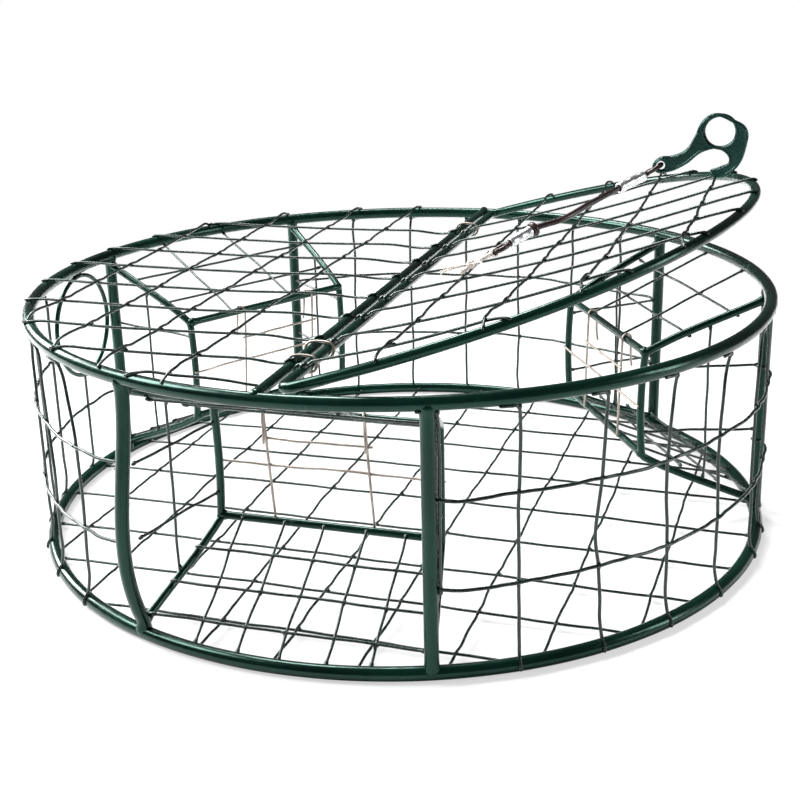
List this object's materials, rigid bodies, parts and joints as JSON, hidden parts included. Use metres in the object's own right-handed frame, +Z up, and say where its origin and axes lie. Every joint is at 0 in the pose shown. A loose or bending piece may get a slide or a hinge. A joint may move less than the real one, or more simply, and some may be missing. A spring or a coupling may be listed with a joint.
{
  "type": "crab trap",
  "caption": "Round coated-steel crab trap with mesh sides, inward tunnels with hanging one-way gates, an escape ring and a hinged half lid with a cord closure.",
  "frame": {"origin": "centre of the trap on the floor, under the middle of the base ring", "axes": "+Z up, -Y towards the front entrance, +X towards the hinged half of the lid"},
  "size_m": [0.762, 0.762, 0.4117],
  "materials": {
    "green_coating": "glossy dark green vinyl coating",
    "hook_plastic": "glossy dark green moulded plastic",
    "bare_wire": "drawn wire",
    "aluminium": "satin",
    "black_rubber": "satin",
    "cotton": "twisted"
  },
  "bodies": {
    "frame": {"base_ring": "green_coating", "top_ring": "green_coating", "post_front_left": "green_coating", "post_front_right": "green_coating", "post_right_front": "green_coating", "post_right_back": "green_coating", "post_back_right": "green_coating", "post_left_back": "green_coating", "crossbar": "green_coating", "base_mesh": "green_coating", "top_mesh": "green_coating", "side_mesh_right": "green_coating", "side_mesh_back": "green_coating", "side_mesh_left": "green_coating", "tunnel_rod_front_a": "green_coating", "tunnel_rod_front_b": "green_coating", "tunnel_side_front_a": "green_coating", "tunnel_side_front_b": "green_coating", "sill_bar_front": "green_coating", "head_bar_front": "green_coating", "ramp_mesh_front": "green_coating", "roof_mesh_front": "green_coating", "tunnel_rod_right_a": "green_coating", "tunnel_rod_right_b": "green_coating", "tunnel_side_right_a": "green_coating", "tunnel_side_right_b": "green_coating", "sill_bar_right": "green_coating", "head_bar_right": "green_coating", "ramp_mesh_right": "green_coating", "roof_mesh_right": "green_coating", "tunnel_rod_left_a": "green_coating", "tunnel_rod_left_b": "green_coating", "tunnel_side_left_a": "green_coating", "tunnel_side_left_b": "green_coating", "sill_bar_left": "green_coating", "head_bar_left": "green_coating", "ramp_mesh_left": "green_coating", "roof_mesh_left": "green_coating", "hog_ring_front": "bare_wire", "hog_ring_middle": "bare_wire", "hog_ring_back": "bare_wire", "escape_ring": "green_coating"},
    "lid": {"lid_frame": "green_coating", "lid_mesh": "green_coating", "closure_cord": "black_rubber", "ferrule_front": "aluminium", "ferrule_back": "aluminium", "cord_stop": "black_rubber", "closure_hook": "hook_plastic", "cotton_tie": "cotton"},
    "gate_front_body": {"gate_front": "bare_wire"},
    "gate_right_body": {"gate_right": "bare_wire"},
    "gate_left_body": {"gate_left": "bare_wire"}
  },
  "joints": [
    {"name": "lid_hinge", "type": "hinge", "parent": "frame", "child": "lid", "pos_m": [0.0115, 0, 0.2497], "axis": [0, -1, 0], "range_deg": [-14, 113.8]},
    {"name": "gate_front_hinge", "type": "hinge", "parent": "frame", "child": "gate_front_body", "pos_m": [-0.0008, -0.23, 0.1832], "axis": [1, -0.0035, 0], "range_deg": [0, 80]},
    {"name": "gate_right_hinge", "type": "hinge", "parent": "frame", "child": "gate_right_body", "pos_m": [0.19777, 0.11743, 0.1832], "axis": [-0.5105, 0.8599, 0], "range_deg": [0, 80]},
    {"name": "gate_left_hinge", "type": "hinge", "parent": "frame", "child": "gate_left_body", "pos_m": [-0.19919, 0.115, 0.1832], "axis": [-0.5, -0.866, 0], "range_deg": [0, 80]}
  ]
}
